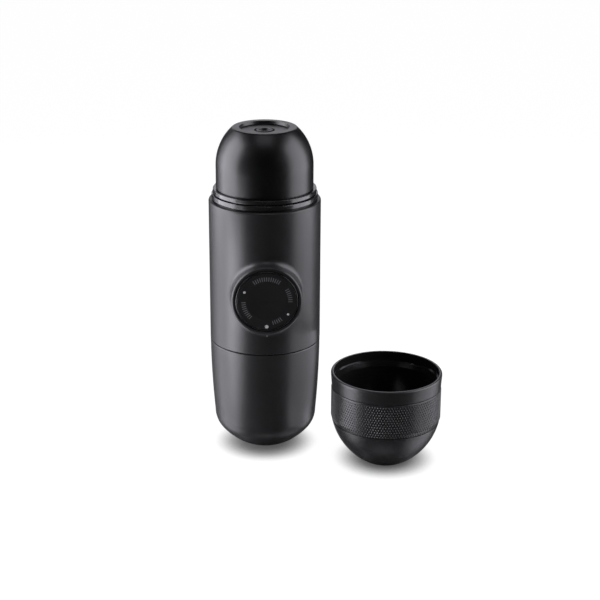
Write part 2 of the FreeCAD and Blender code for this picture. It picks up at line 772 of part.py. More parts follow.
def make_block():
    """The pump block: it holds the barrel, with the inlet valve's tower below and the outlet's over."""
    body = new_body("pump_block")
    side = sketch_on(body, "Side", "XZ_Plane", "-block_back")
    top = f"({PUMP_LEVEL} + block_height / 2)"
    outline(side, [
        ("-block_half", BLOCK_LOW),
        ("block_half", BLOCK_LOW),
        ("block_half", top),
        ("-block_half", top),
    ])
    pad(body, "Block", side, "block_front + block_back")
    lower = sketch_on(body, "InletCircle", "XY_Plane", DECK_TOP)
    circles(lower, [("0", "port_offset", "inlet_tower")])
    pad(body, "InletTower", lower, f"{PUMP_LEVEL} - {DECK_TOP}")
    upper = sketch_on(body, "OutletCircle", "XY_Plane", PUMP_LEVEL)
    circles(upper, [("0", "port_offset", "outlet_tower")])
    pad(body, "OutletTower", upper, f"{UPPER_DECK_LOW} - {PUMP_LEVEL}")
    bore = sketch_on(body, "BarrelCircle", "XZ_Plane", "block_front + outlet_tower")
    circles(bore, [("0", PUMP_LEVEL, "barrel_radius + fit_gap")])
    pocket(body, "BarrelBore", bore, "block_front + block_back + 2 * outlet_tower + port_offset")
    drill(body, "InletBore", "0", "port_offset", "valve_bore", INLET_SEAT, PUMP_LEVEL)
    drill(body, "TubeBore", "0", "port_offset", "tube_radius + fit_gap", DECK_TOP, INLET_SEAT)
    drill(body, "OutletBore", "0", "port_offset", "valve_bore", PUMP_LEVEL, OUTLET_VALVE_TOP)
    drill(body, "RiserHole", "0", "port_offset", "port_radius", OUTLET_VALVE_TOP, UPPER_DECK_LOW)
    groove = sketch_on(body, "RiserGroove", "XY_Plane", UPPER_DECK_LOW)
    middle = "(port_radius + 3 * small_seal_wire)"
    circles(groove, [("0", "port_offset", f"{middle} - small_seal_wire - fit_gap"),
                     ("0", "port_offset", f"{middle} + small_seal_wire + fit_gap")])
    pocket(body, "RiserSealGroove", groove, "2 * small_seal_wire + fit_gap")
    seal_ring("riser_seal", middle, "small_seal_wire",
              ("0", "port_offset", f"{UPPER_DECK_LOW} - small_seal_wire - fit_gap / 2"))


def make_barrel():
    """The pump barrel with a port below and a port over it, its front gland and its rear cap."""
    pump = ("0", "0", PUMP_LEVEL)
    barrel = turned_part("pump_barrel", [
        ("pump_bore", "-barrel_back"),
        ("barrel_radius", "-barrel_back"),
        ("barrel_radius", "barrel_front"),
        ("pump_bore", "barrel_front"),
    ], at=pump, laid_over=True)
    ports = sketch_on(barrel, "PortCircle", "XZ_Plane", "barrel_radius + 1")
    circles(ports, [("0", "-port_offset", "port_radius")])
    pocket(barrel, "Ports", ports, "2 * barrel_radius + 2")
    gland_back = "(barrel_front - gland_height)"
    bore = "(pump_bore - fit_gap)"
    pocket_floor = "(barrel_front - gland_pocket)"
    pocket_radius = "(rod_radius + 2.2 * seal_wire + slide_fit)"
    turned_part("rod_gland", [
        ("rod_radius + slide_fit", gland_back),
        (bore, gland_back),
        (bore, "barrel_front"),
        (pocket_radius, "barrel_front"),
        (pocket_radius, pocket_floor),
        ("rod_radius + slide_fit", pocket_floor),
    ], at=pump, laid_over=True)
    seal_ring("rod_seal", "rod_radius + slide_fit + small_seal_wire", "small_seal_wire",
              ("0", f"-({pocket_floor} + seal_wire)", PUMP_LEVEL), laid_over=True)
    back = "-barrel_back"
    plug = "(pump_bore - fit_gap)"
    groove_floor = f"({plug} - 2 * small_seal_wire)"
    groove_middle = "(cap_plug / 2 - barrel_back)"
    turned_part("barrel_cap", [
        ("0", f"{back} - cap_flange"),
        ("barrel_radius", f"{back} - cap_flange"),
        ("barrel_radius", back),
        (plug, back),
        (plug, f"{groove_middle} - small_seal_wire - fit_gap"),
        (groove_floor, f"{groove_middle} - small_seal_wire - fit_gap"),
        (groove_floor, f"{groove_middle} + small_seal_wire + fit_gap"),
        (plug, f"{groove_middle} + small_seal_wire + fit_gap"),
        (plug, "cap_plug - barrel_back"),
        ("0", "cap_plug - barrel_back"),
    ], at=pump, laid_over=True)
    seal_ring("barrel_cap_seal", f"{groove_floor} + small_seal_wire", "small_seal_wire",
              ("0", f"-{groove_middle}", PUMP_LEVEL), laid_over=True)


def make_piston():
    """The piston with its ring, the rod to the knob, and the spring that throws the knob out."""
    pump = ("0", "0", PUMP_LEVEL)
    back = "-piston_back"
    front = PISTON_FRONT
    groove_middle = "(piston_height / 2 - piston_back)"
    stud_hole = f"({back} + 1)"
    turned_part("piston_head", [
        ("0", back),
        ("piston_radius", back),
        ("piston_radius", f"{groove_middle} - seal_wire - fit_gap"),
        ("piston_groove", f"{groove_middle} - seal_wire - fit_gap"),
        ("piston_groove", f"{groove_middle} + seal_wire + fit_gap"),
        ("piston_radius", f"{groove_middle} + seal_wire + fit_gap"),
        ("piston_radius", front),
        ("rod_stud + fit_gap", front),
        ("rod_stud + fit_gap", stud_hole),
        ("0", stud_hole),
    ], at=pump, laid_over=True)
    seal_ring("piston_seal", "pump_bore - slide_fit - seal_wire", "seal_wire",
              ("0", f"-{groove_middle}", PUMP_LEVEL), laid_over=True)
    screw_hole = "(screw_radius + fit_gap)"
    turned_part("piston_rod", [
        ("0", f"{stud_hole} + fit_gap"),
        ("rod_stud", f"{stud_hole} + fit_gap"),
        ("rod_stud", front),
        ("rod_radius", front),
        ("rod_radius", WEB_BACK),
        (screw_hole, WEB_BACK),
        (screw_hole, f"{WEB_BACK} - screw_grip"),
        ("0", f"{WEB_BACK} - screw_grip"),
    ], at=pump, laid_over=True)
    coil("return_spring", "return_radius", "return_wire",
         f"({WELL_FRONT} + return_wire + slide_fit)", f"({WEB_BACK} - return_wire - slide_fit)",
         "return_turns", at=pump, laid_over=True)


def make_lock_ring():
    """The bayonet ring on the barrel: a base ring with two lands, and two wide ways between them."""
    body = new_body("lock_ring", ("0", "0", PUMP_LEVEL), laid_over=True)
    inner = "(barrel_radius + fit_gap)"
    base = f"({WELL_FRONT} + fit_gap)"
    base_top = f"({base} + lock_base)"
    revolve(body, "Base", [
        (inner, base),
        ("lock_outer", base),
        ("lock_outer", base_top),
        (inner, base_top),
    ])
    sketch = sketch_on(body, "LandOutline", "YZ_Plane")
    outline(sketch, [
        (inner, f"{base_top} - fit_gap"),
        ("lock_outer", f"{base_top} - fit_gap"),
        ("lock_outer", "barrel_front"),
        (inner, "barrel_front"),
    ])
    land = body.newObject("PartDesign::Revolution", "Land")
    land.Profile = sketch
    land.ReferenceAxis = (sketch, ["V_Axis"])
    land.Midplane = True
    land.setExpression("Angle", sized("lock_angle"))
    around(body, "Lands", land, 2)


def make_knob():
    """The knob: a gloss cup with a hub and two lugs, a dished face disc, and the screw to the rod."""
    pump = ("0", "0", PUMP_LEVEL)
    body = new_body("knob_body", pump, laid_over=True)
    counterbore = "(screw_head_height - fit_gap)"
    revolve(body, "Cup", [
        ("screw_radius + fit_gap", WEB_BACK),
        ("hub_inner", WEB_BACK),
        ("hub_inner", f"({KNOB_BACK} + 1.5)"),
        ("hub_outer", f"({KNOB_BACK} + 1.5)"),
        ("hub_outer", WEB_BACK),
        ("knob_radius - knob_wall", WEB_BACK),
        ("knob_radius - knob_wall", KNOB_BACK),
        ("knob_radius", KNOB_BACK),
        ("knob_radius", KNOB_FRONT),
        ("face_radius + fit_gap", KNOB_FRONT),
        ("face_radius + fit_gap", WEB_FRONT),
        ("screw_head + fit_gap", WEB_FRONT),
        ("screw_head + fit_gap", f"{WEB_FRONT} - {counterbore}"),
        ("screw_radius + fit_gap", f"{WEB_FRONT} - {counterbore}"),
    ])
    soften(body, "RimEdge", "knob_edge", [("knob_radius", KNOB_FRONT)])
    lug_back = f"({KNOB_BACK} + 1.5)"
    sketch = sketch_on(body, "LugOutline")
    outline(sketch, [
        ("lug_inner", lug_back),
        ("(hub_inner + hub_outer) / 2", lug_back),
        ("(hub_inner + hub_outer) / 2", f"{lug_back} + lug_height"),
        ("lug_inner", f"{lug_back} + lug_height"),
    ])
    sketch.AttachmentOffset = Placement(Vector(0, 0, 0), Rotation(Vector(0, 1, 0), number("lug_turn_angle")))
    sketch.setExpression("AttachmentOffset.Rotation.Angle", sized("lug_turn_angle"))
    lug = body.newObject("PartDesign::Revolution", "Lug")
    lug.Profile = sketch
    lug.ReferenceAxis = (sketch, ["V_Axis"])
    lug.Midplane = True
    lug.setExpression("Angle", sized("lug_angle"))
    around(body, "Lugs", lug, 2)
    dish_round = "((dish_radius ^ 2 + dish_depth ^ 2) / (2 * dish_depth))"
    face = turned_part("knob_face", [
        ("0", WEB_FRONT),
        ("face_radius", WEB_FRONT),
        ("face_radius", KNOB_FRONT),
        ("dish_radius", KNOB_FRONT),
        ("0", f"{KNOB_FRONT} - dish_depth", f"-{dish_round}"),
    ], at=pump, laid_over=True)
    soften(face, "FaceEdge", "face_edge", [("face_radius", KNOB_FRONT)])
    head_low = f"({WEB_FRONT} - {counterbore})"
    turned_part("knob_screw", [
        ("0", f"{WEB_BACK} - screw_grip + 1"),
        ("screw_radius", f"{WEB_BACK} - screw_grip + 1"),
        ("screw_radius", head_low),
        ("screw_head", head_low),
        ("screw_head", f"{WEB_FRONT} - fit_gap"),
        ("0", f"{WEB_FRONT} - fit_gap"),
    ], at=pump, laid_over=True)


def make_valve(name, seat, spring_top):
    """A ball on a cone seat with a light spring over it; the ball lifts straight up."""
    turned_part(f"{name}_seat", [
        ("seat_throat", "0"),
        ("valve_bore - fit_gap", "0"),
        ("valve_bore - fit_gap", "seat_height"),
        ("seat_mouth", "seat_height"),
        ("seat_throat", "seat_height - seat_cone"),
    ], at=("0", "port_offset", seat))
    run = "(seat_mouth - seat_throat)"
    slope = f"sqrt({run} ^ 2 + seat_cone ^ 2)"
    reach = f"((ball_radius + slide_fit / 2) * {slope} - seat_throat * seat_cone)"
    middle = f"({seat} + seat_height - seat_cone + {reach} / {run})"
    ball = doc.addObject("Part::Sphere", f"{name}_ball")
    ball.Label = f"{name}_ball"
    ball.setExpression("Radius", sized("ball_radius"))
    place(ball, ("0", "port_offset", middle))
    touch = "sqrt((ball_radius + valve_wire + slide_fit / 2) ^ 2 - valve_spring ^ 2)"
    low = f"({middle} + {touch})"
    coil(f"{name}_spring", "valve_spring", "valve_wire", low,
         f"({spring_top} - valve_wire - slide_fit)", "valve_turns", at=("0", "port_offset", "0"))


def make_intake():
    """The tube from the inlet valve down into the tank, with a slotted strainer on its end."""
    turned_part("intake_tube", [
        ("tube_bore", "tube_low"),
        ("tube_radius", "tube_low"),
        ("tube_radius", f"{INLET_SEAT} - fit_gap"),
        ("tube_bore", f"{INLET_SEAT} - fit_gap"),
    ], at=("0", "port_offset", "0"))
    top = "(strainer_low + strainer_height)"
    inner = "(strainer_radius - strainer_wall)"
    body = turned_part("intake_filter", [
        ("0", "strainer_low"),
        ("strainer_radius", "strainer_low"),
        ("strainer_radius", top),
        ("tube_radius + fit_gap", top),
        ("tube_radius + fit_gap", f"{top} - strainer_wall"),
        (inner, f"{top} - strainer_wall"),
        (inner, "strainer_low + strainer_wall"),
        ("0", "strainer_low + strainer_wall"),
    ], at=("0", "port_offset", "0"))
    slot = sketch_on(body, "SlotOutline", "XZ_Plane", "strainer_radius + 1")
    low = "(strainer_low + (strainer_height - slot_height) / 2)"
    outline(slot, [
        ("-slot_width / 2", low),
        ("slot_width / 2", low),
        ("slot_width / 2", f"{low} + slot_height"),
        ("-slot_width / 2", f"{low} + slot_height"),
    ])
    cut = pocket(body, "Slot", slot, "strainer_radius")
    around(body, "Slots", cut, 6)


def make_brewing_pieces():
    """The plate that spreads the water, its screw, and the basket that holds the coffee."""
    plate = turned_part("shower_plate", [
        ("small_screw + fit_gap", PLATE_LOW),
        ("neck_bore - fit_gap", PLATE_LOW),
        ("neck_bore - fit_gap", f"{PLATE_LOW} + plate_height"),
        ("small_screw + fit_gap", f"{PLATE_LOW} + plate_height"),
    ])
    perforate(plate, "carrier_ledge", f"({PLATE_LOW} + plate_height)", "plate_height")
    plate_top = f"({PLATE_LOW} + plate_height)"
    turned_part("shower_screw", [
        ("0", f"{UPPER_DECK_LOW} + 1.5"),
        ("small_screw", f"{UPPER_DECK_LOW} + 1.5"),
        ("small_screw", plate_top),
        ("small_screw_head", plate_top),
        ("small_screw_head", f"{plate_top} + small_screw_head_height"),
        ("0", f"{plate_top} + small_screw_head_height"),
    ])
    low = f"({FLANGE_TOP} - flange_height - basket_depth)"
    inner = "(basket_radius - basket_wall)"
    basket = turned_part("filter_basket", [
        ("0", low),
        ("basket_radius", low),
        ("basket_radius", FLANGE_LOW),
        ("flange_radius", FLANGE_LOW),
        ("flange_radius", FLANGE_TOP),
        (inner, FLANGE_TOP),
        (inner, f"{low} + basket_wall"),
        ("0", f"{low} + basket_wall"),
    ])
    perforate(basket, inner, f"({low} + basket_wall)", "basket_wall")


def make_head_shell():
    """The dark dome: threaded skirt, round shoulder, dished top with a well for the outlet."""
    inner_round = "(dome_round - dome_wall)"
    ceiling_span = f"sqrt({inner_round} ^ 2 - ({HEAD_DECK_LOW} - {DOME_START}) ^ 2)"
    ceiling = f"(dome_radius - dome_round + {ceiling_span})"
    ring_top = f"({HEAD_LOW} + head_ring_height)"
    hole = "(nozzle_tube + fit_gap)"
    body = turned_part("head_shell", [
        (HEAD_BORE, HEAD_LOW),
        ("head_skirt", HEAD_LOW),
        ("head_skirt", f"{ring_top} + seam_gap"),
        ("dome_radius", f"{ring_top} + seam_gap"),
        ("dome_radius", DOME_START),
        (DOME_RIM, HEAD_TOP, "dome_round"),
        (f"{DOME_RIM} - rim_width", HEAD_TOP),
        (f"{DOME_RIM} - rim_width - rim_slope", DISH_EDGE),
        ("nozzle_well", DISH_FLOOR),
        ("nozzle_well", NOZZLE_SEAT),
        (hole, NOZZLE_SEAT),
        (hole, HEAD_DECK_LOW),
        (ceiling, HEAD_DECK_LOW),
        (HEAD_BORE, DOME_START, f"-{inner_round}"),
    ])
    soften(body, "RimRound", "rim_round", [(DOME_RIM, HEAD_TOP)])
    thread(body, "HeadThread", HEAD_BORE, NECK_THREAD_LOW, outward=False, half_pitch=True)
    inner = "(head_skirt + fit_gap)"
    ring = turned_part("head_ring", [
        (inner, HEAD_LOW),
        ("head_ring_radius", HEAD_LOW),
        ("head_ring_radius", ring_top),
        (inner, ring_top),
    ])
    soften(ring, "Edges", "ring_edge",
           [("head_ring_radius", HEAD_LOW), ("head_ring_radius", ring_top)])


def make_head_seal():
    """The ring that the head presses on the basket's flange."""
    turned_part("head_seal", [
        ("head_seal_inner", FLANGE_TOP),
        ("head_seal_outer", FLANGE_TOP),
        ("head_seal_outer", CARRIER_LOW),
        ("head_seal_inner", CARRIER_LOW),
    ])


def make_head_inside():
    """The carrier with the outlet screen under it, the screw, and the outlet nozzle with its seal."""
    screw_hole = "(small_screw + fit_gap)"
    carrier = turned_part("screen_carrier", [
        (screw_hole, CARRIER_LOW),
        ("carrier_boss", CARRIER_LOW),
        ("carrier_boss", CARRIER_CEILING),
        ("carrier_ledge", CARRIER_CEILING),
        ("carrier_ledge", CARRIER_LOW),
        (f"{HEAD_BORE} - fit_gap", CARRIER_LOW),
        (f"{HEAD_BORE} - fit_gap", CARRIER_TOP),
        ("carrier_tube", CARRIER_TOP),
        ("carrier_tube", CARRIER_TUBE_TOP),
        ("nozzle_tube + fit_gap", CARRIER_TUBE_TOP),
        ("nozzle_tube + fit_gap", CARRIER_TOP),
        ("0", CARRIER_TOP),
        ("0", f"{CARRIER_TOP} - 0.4"),
        (screw_hole, f"{CARRIER_TOP} - 0.4"),
    ])
    flow = drill(carrier, "FlowHole", "flow_ring", "0", "flow_radius", CARRIER_CEILING, CARRIER_TOP)
    around(carrier, "FlowHoles", flow, 6)
    screen_low = f"({CARRIER_LOW} - screen_height)"
    screen = turned_part("outlet_screen", [
        (screw_hole, screen_low),
        ("screen_radius", screen_low),
        ("screen_radius", CARRIER_LOW),
        (screw_hole, CARRIER_LOW),
    ])
    perforate(screen, "carrier_ledge", CARRIER_LOW, "screen_height")
    turned_part("screen_screw", [
        ("0", f"{screen_low} - small_screw_head_height"),
        ("small_screw_head", f"{screen_low} - small_screw_head_height"),
        ("small_screw_head", screen_low),
        ("small_screw", screen_low),
        ("small_screw", f"{CARRIER_TOP} - 0.6"),
        ("0", f"{CARRIER_TOP} - 0.6"),
    ])
    make_nozzle()


def make_nozzle():
    """The outlet: a flanged tube with a drilled floor near its top and a small pointed nib."""
    top = f"({NOZZLE_SEAT} + nozzle_flange_height)"
    floor_top = f"({top} - nozzle_floor_drop)"
    floor_low = f"({floor_top} - nozzle_floor)"
    low = f"({NOZZLE_SEAT} - nozzle_drop)"
    nozzle = turned_part("outlet_nozzle", [
        ("nozzle_bore", low),
        ("nozzle_tube", low),
        ("nozzle_tube", NOZZLE_SEAT),
        ("nozzle_flange", NOZZLE_SEAT),
        ("nozzle_flange", top),
        ("nozzle_mouth", top),
        ("nozzle_bore", floor_top),
        ("nib_radius", floor_top),
        ("nib_radius / 3", f"{floor_top} + nib_height"),
        ("0", f"{floor_top} + nib_height"),
        ("0", floor_low),
        ("nozzle_bore", floor_low),
    ])
    hole = drill(nozzle, "Drip", "(nib_radius + nozzle_bore) / 2", "0", "flow_radius",
                 floor_low, floor_top)
    around(nozzle, "Drips", hole, 5)
    soften(nozzle, "FlangeEdge", "nozzle_floor / 2", [("nozzle_flange", top)])
    seal_ring("nozzle_seal", "nozzle_tube + fit_gap + small_seal_wire", "small_seal_wire",
              ("0", "0", f"{CARRIER_TUBE_TOP} + small_seal_wire + fit_gap"))


def make_cup():
    """The cup: a shell with a straight band, a taper and a domed foot, and a liner with the lip."""
    at = ("cup_x", "cup_y", "0")
    band_low = "(cup_seam - cup_band_height)"
    taper_low = f"({band_low} - cup_taper_height)"
    inner_side = "(cup_bowl + cup_liner_wall + fit_gap)"
    inner_floor = "(cup_floor - cup_liner_wall - fit_gap)"
    bowl_low = f"({taper_low} + cup_bowl_rise)"
    shell = turned_part("cup_shell", [
        ("0", "0"),
        ("cup_foot", "0"),
        ("cup_taper + cup_step", taper_low, "cup_round"),
        ("cup_taper", taper_low),
        ("cup_band", band_low),
        ("cup_band", "cup_seam"),
        (inner_side, "cup_seam"),
        (inner_side, bowl_low),
        ("cup_bowl_floor", inner_floor, "-cup_bowl_round"),
        ("0", inner_floor),
    ], at=at)
    soften(shell, "SeamEdge", "ring_edge", [("cup_band", "cup_seam")])
    seat = "(cup_seam + fit_gap)"
    liner_side = "(cup_bowl + cup_liner_wall)"
    liner = turned_part("cup_liner", [
        ("0", "cup_floor - cup_liner_wall"),
        ("cup_bowl_floor", "cup_floor - cup_liner_wall"),
        (liner_side, bowl_low, "cup_bowl_round"),
        (liner_side, seat),
        ("cup_collar", seat),
        ("cup_lip", "cup_height - cup_lip_height"),
        ("cup_lip", "cup_height"),
        ("cup_mouth", "cup_height"),
        ("cup_mouth", "cup_height - cup_mouth_depth"),
        ("cup_ledge", "cup_height - cup_mouth_depth"),
        ("cup_bowl", "cup_height - cup_bowl_drop"),
        ("cup_bowl", bowl_low),
        ("cup_bowl_floor", "cup_floor", "-cup_bowl_round"),
        ("0", "cup_floor"),
    ], at=at)
    soften(liner, "SeamEdge", "ring_edge", [("cup_collar", seat)])
    soften(liner, "LipEdge", "cup_lip_round", [("cup_lip", "cup_height")])


def make_parts():
    """Every sub-part, from the floor up, then the cup."""
    make_tank()
    make_tank_gasket()
    make_tank_coupling()
    make_air_vent()
    make_sleeve()
    make_neck_ring()
    make_chassis()
    make_frame_screws()
    make_block()
    make_barrel()
    make_piston()
    make_lock_ring()
    make_knob()
    make_valve("inlet", INLET_SEAT, f"({PUMP_LEVEL} - barrel_radius)")
    make_valve("outlet", OUTLET_SEAT, OUTLET_VALVE_TOP)
    make_intake()
    make_brewing_pieces()
    make_head_seal()
    make_head_shell()
    make_head_inside()
    make_cup()


def sub_parts():
    """The objects that are written out: bodies and finished shapes with a plain-word label."""
    kinds = ("PartDesign::Body", "Part::Torus", "Part::Sphere", "Part::MultiFuse")
    return [item for item in doc.Objects if item.TypeId in kinds]


def check():
    """Stop if any object failed, or any sub-part has no sound shape."""
    for item in doc.Objects:
        if {"Invalid", "Error"} & set(item.State):
            raise ValueError(f"{item.Label} failed: {item.State}")
    for part in sub_parts():
        if part.Shape.isNull() or not part.Shape.isValid():
            raise ValueError(f"{part.Label} has no sound shape")


def export():
    """One STEP file for each sub-part."""
    os.makedirs("parts", exist_ok=True)
    for part in sub_parts():
        part.Shape.exportStep(f"parts/{part.Label}.step")
        box = part.Shape.BoundBox
        print(f"{part.Label:16s} {len(part.Shape.Solids)} solid, {part.Shape.Volume / 1000:8.3f} cm3, "
              f"z {box.ZMin:7.2f} to {box.ZMax:7.2f}")


doc = FreeCAD.newDocument("EspressoMaker")
sheet = make_sheet()
make_parts()
doc.recompute()
check()
export()
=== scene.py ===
# %% [markdown]
# # A hand-pumped espresso maker, dressed for a studio picture
#
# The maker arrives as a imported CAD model: every moulding, spring and seal is its own object, in
# metres, and already in place. CAD gives the shapes, and this lesson gives the surfaces. It makes
# a finish for each material of the real thing, adds the small things that CAD leaves out (the
# cup's knurling, the dial's marks), and sets up the studio.
#
# A loaded piece is never moved or reshaped. A new piece is made in its final place, and rides on
# the CAD body that carries it, so that it follows when the knob turns or the cup is lifted.

# %% Load the model
import json
import math

import bmesh
import bpy
from mathutils import Euler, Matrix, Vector


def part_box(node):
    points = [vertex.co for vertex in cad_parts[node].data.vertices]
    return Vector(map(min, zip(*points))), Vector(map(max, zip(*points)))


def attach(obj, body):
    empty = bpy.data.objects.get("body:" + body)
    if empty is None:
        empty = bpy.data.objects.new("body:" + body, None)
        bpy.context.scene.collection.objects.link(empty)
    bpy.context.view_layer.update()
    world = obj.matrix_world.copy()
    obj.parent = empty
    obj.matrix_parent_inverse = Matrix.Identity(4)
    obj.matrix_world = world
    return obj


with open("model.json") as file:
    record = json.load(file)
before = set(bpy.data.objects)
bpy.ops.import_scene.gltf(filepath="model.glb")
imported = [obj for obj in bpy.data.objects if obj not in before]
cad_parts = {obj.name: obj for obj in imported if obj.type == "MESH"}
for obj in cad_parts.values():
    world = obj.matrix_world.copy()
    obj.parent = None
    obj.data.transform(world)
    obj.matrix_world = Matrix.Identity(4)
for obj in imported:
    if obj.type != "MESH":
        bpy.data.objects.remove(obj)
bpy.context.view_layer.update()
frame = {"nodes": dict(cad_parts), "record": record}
MM = 0.001

# %% [markdown]
# ## A small workbench for finishes
#
# A finish on a real moulding is never one flat colour. It has a grain, it is a little smoother
# where hands rub it, and its colour drifts. In Blender such a finish is a tree of shader nodes.
# Clicking trees together by hand is fine for one material, but ten of them need a shorter way.
#
# `Finish` starts a material and adds a node with one call: its kind, its settings, then a value
# or a link for each socket. `Wire` wraps a number that varies over the surface. Python's own
# operators on it add Math nodes, so `1 - mask` or `grain * 0.2 + 0.4` reads as arithmetic.
# Colours don't go through Math nodes, which would turn them grey: they go through Mix.

# %% Numbers that vary over a surface
class Wire:
    """A number from a node's output; arithmetic on it adds Math nodes."""

    def __init__(self, finish, socket):
        self.finish = finish
        self.socket = socket

    def _math(self, operation, *values):
        node = self.finish.node("ShaderNodeMath", {"operation": operation}, dict(enumerate(values)))
        return type(self)(self.finish, node.outputs[0])

    def __add__(self, other):
        return self._math("ADD", self, other)

    def __radd__(self, other):
        return self._math("ADD", other, self)

    def __sub__(self, other):
        return self._math("SUBTRACT", self, other)

    def __rsub__(self, other):
        return self._math("SUBTRACT", other, self)

    def __mul__(self, other):
        return self._math("MULTIPLY", self, other)

    def __rmul__(self, other):
        return self._math("MULTIPLY", other, self)

    def __truediv__(self, other):
        return self._math("DIVIDE", self, other)

    def __pow__(self, other):
        return self._math("POWER", self, other)

    def __abs__(self):
        return self._math("ABSOLUTE", self)

    def between(self, start, end):
        """0 at start, 1 at end, and a smooth rise from one to the other."""
        node = self.finish.node(
            "ShaderNodeMapRange", {"interpolation_type": "SMOOTHSTEP"},
            {"Value": self, "From Min": start, "From Max": end})
        return Wire(self.finish, node.outputs["Result"])


print("Wire does +, -, *, /, ** and abs()")

# %% One material, built node by node
class Finish:
    """A material whose tree reads the piece's own Object coordinates, in metres."""

    def __init__(self, name):
        self.material = bpy.data.materials.new(name)
        self.material.use_nodes = True
        self.tree = self.material.node_tree
        self.tree.nodes.clear()
        self.place = self.node("ShaderNodeTexCoord").outputs["Object"]

    def node(self, kind, settings=None, values=None):
        """Add a node: its settings first, then a number, a colour or a link for each socket."""
        made = self.tree.nodes.new(kind)
        for name, value in (settings or {}).items():
            setattr(made, name, value)
        for name, value in (values or {}).items():
            value = getattr(value, "socket", value)
            if isinstance(value, bpy.types.NodeSocket):
                self.tree.links.new(value, made.inputs[name])
            else:
                made.inputs[name].default_value = value
        return made

    def stretched(self, scale=(1, 1, 1), centre=(0, 0, 0)):
        """Object coordinates measured from a centre, each axis scaled by its own number."""
        moved = self.node("ShaderNodeVectorMath", {"operation": "SUBTRACT"},
                          {0: self.place, 1: centre})
        return self.node("ShaderNodeVectorMath", {"operation": "MULTIPLY"},
                         {0: moved.outputs[0], 1: scale}).outputs[0]

    def axes(self, centre=(0, 0, 0)):
        """The three Object coordinates from a centre, as numbers."""
        split = self.node("ShaderNodeSeparateXYZ", values={0: self.stretched(centre=centre)})
        return [Wire(self, output) for output in split.outputs]

    def noise(self, size, detail=2.0, roughness=0.5, place=None):
        """Cloudy noise from 0 to 1 whose lumps are about `size` metres across."""
        node = self.node("ShaderNodeTexNoise", {"noise_dimensions": "3D"}, {
            "Vector": place or self.place, "Scale": 1 / size, "Detail": detail,
            "Roughness": roughness})
        return Wire(self, node.outputs["Fac"])

    def cells(self, size, randomness=1.0):
        """Distance to the nearest point of a scatter `size` metres apart."""
        node = self.node("ShaderNodeTexVoronoi", {"feature": "F1"}, {
            "Vector": self.place, "Scale": 1 / size, "Randomness": randomness})
        return Wire(self, node.outputs["Distance"])

    def mix(self, mask, first, second):
        """The first colour where the mask is 0, and the second where it is 1."""
        node = self.node("ShaderNodeMix", {"data_type": "RGBA", "clamp_factor": True},
                         {0: mask, 6: first, 7: second})
        return node.outputs[2]

    def bump(self, height, depth, strength=1.0, under=None):
        """Turn a height from 0 to 1 into dents `depth` metres deep, over any bump below it."""
        values = {"Height": height, "Distance": depth, "Strength": strength}
        if under is not None:
            values["Normal"] = under
        return self.node("ShaderNodeBump", values=values).outputs["Normal"]

    def surface(self, **sockets):
        """Finish the tree with one Principled shader."""
        names = {name.replace("_", " ").title().replace("Ior", "IOR"): value
                 for name, value in sockets.items()}
        shader = self.node("ShaderNodeBsdfPrincipled", values=names)
        self.node("ShaderNodeOutputMaterial", values={"Surface": shader.outputs["BSDF"]})
        print("finish:", self.material.name, "-", len(self.tree.nodes), "nodes")
        return self.material


def grey(level, warmth=0.0):
    """A near-neutral colour: a little warmer for a positive warmth, cooler for a negative one."""
    return (level * (1 + warmth), level, level * (1 - warmth), 1.0)


print("a grey of 5 percent:", grey(0.05, -0.02))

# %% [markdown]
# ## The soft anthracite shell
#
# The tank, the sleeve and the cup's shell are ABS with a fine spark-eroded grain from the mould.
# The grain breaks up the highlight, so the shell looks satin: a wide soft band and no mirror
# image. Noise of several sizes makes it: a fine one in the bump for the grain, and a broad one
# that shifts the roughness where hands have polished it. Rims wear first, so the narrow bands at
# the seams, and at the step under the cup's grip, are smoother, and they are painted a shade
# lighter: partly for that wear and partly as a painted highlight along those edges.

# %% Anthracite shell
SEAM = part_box("water_tank")[1].z
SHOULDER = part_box("body_sleeve")[1].z
CUP_MIDDLE = (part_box("cup_shell")[0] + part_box("cup_shell")[1]) / 2
CUP_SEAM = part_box("cup_shell")[1].z
CUP_STEP = CUP_SEAM - 18.9 * MM        # where the grip band ends and the round foot begins
print(f"seam at {SEAM / MM:.1f} mm, shoulder at {SHOULDER / MM:.1f} mm,",
      f"cup's seam at {CUP_SEAM / MM:.1f} mm")


def wear_and_highlight_lines(finish, height, levels, reach):
    """1 on the lines at these heights, fading to 0 a little way off, broken up by noise."""
    total = None
    for level in levels:
        line = 1 - abs(height - level).between(0.0, reach)
        total = line if total is None else total + line
    return total * finish.noise(3 * MM, detail=3).between(0.35, 0.75)


def grained_shell(name, tone, levels, roughness):
    """Grained plastic, worn along the rim lines at the given heights and painted lighter there,
    partly for wear and partly as a painted highlight.
    """
    finish = Finish(name)
    height = finish.axes()[2]
    rim_wear_and_highlight = wear_and_highlight_lines(finish, height, levels, 0.9 * MM)
    drift = finish.noise(28 * MM, detail=1)
    speck = finish.noise(0.5 * MM, detail=1)
    handled = finish.noise(11 * MM, detail=4, roughness=0.6).between(0.35, 0.7)
    colour = finish.mix(drift, grey(tone * 0.92, -0.02), grey(tone * 1.08, 0.01))
    colour = finish.mix(speck.between(0.55, 0.8) * 0.25, colour, grey(tone * 1.5))
    # Rim lines painted lighter: partly wear, partly a painted highlight along the seams and the cup's
    # step.
    colour = finish.mix(rim_wear_and_highlight * 0.3, colour, grey(tone * 1.8))
    grain = finish.noise(0.22 * MM, detail=2, roughness=0.65)
    flow = finish.noise(7 * MM, detail=1)
    dents = finish.bump(flow, 0.02 * MM, 0.4)
    dents = finish.bump(grain, 0.016 * MM, 0.55, under=dents)
    return finish.surface(
        base_color=colour,
        roughness=roughness - 0.035 * handled - 0.05 * rim_wear_and_highlight + 0.03 * speck,
        specular_ior_level=0.5, normal=dents)


shell = grained_shell("anthracite_shell", 0.0125, [0.3 * MM, SEAM, SHOULDER], 0.37)
cup_skin = grained_shell("anthracite_cup", 0.0135, [CUP_STEP], 0.37)

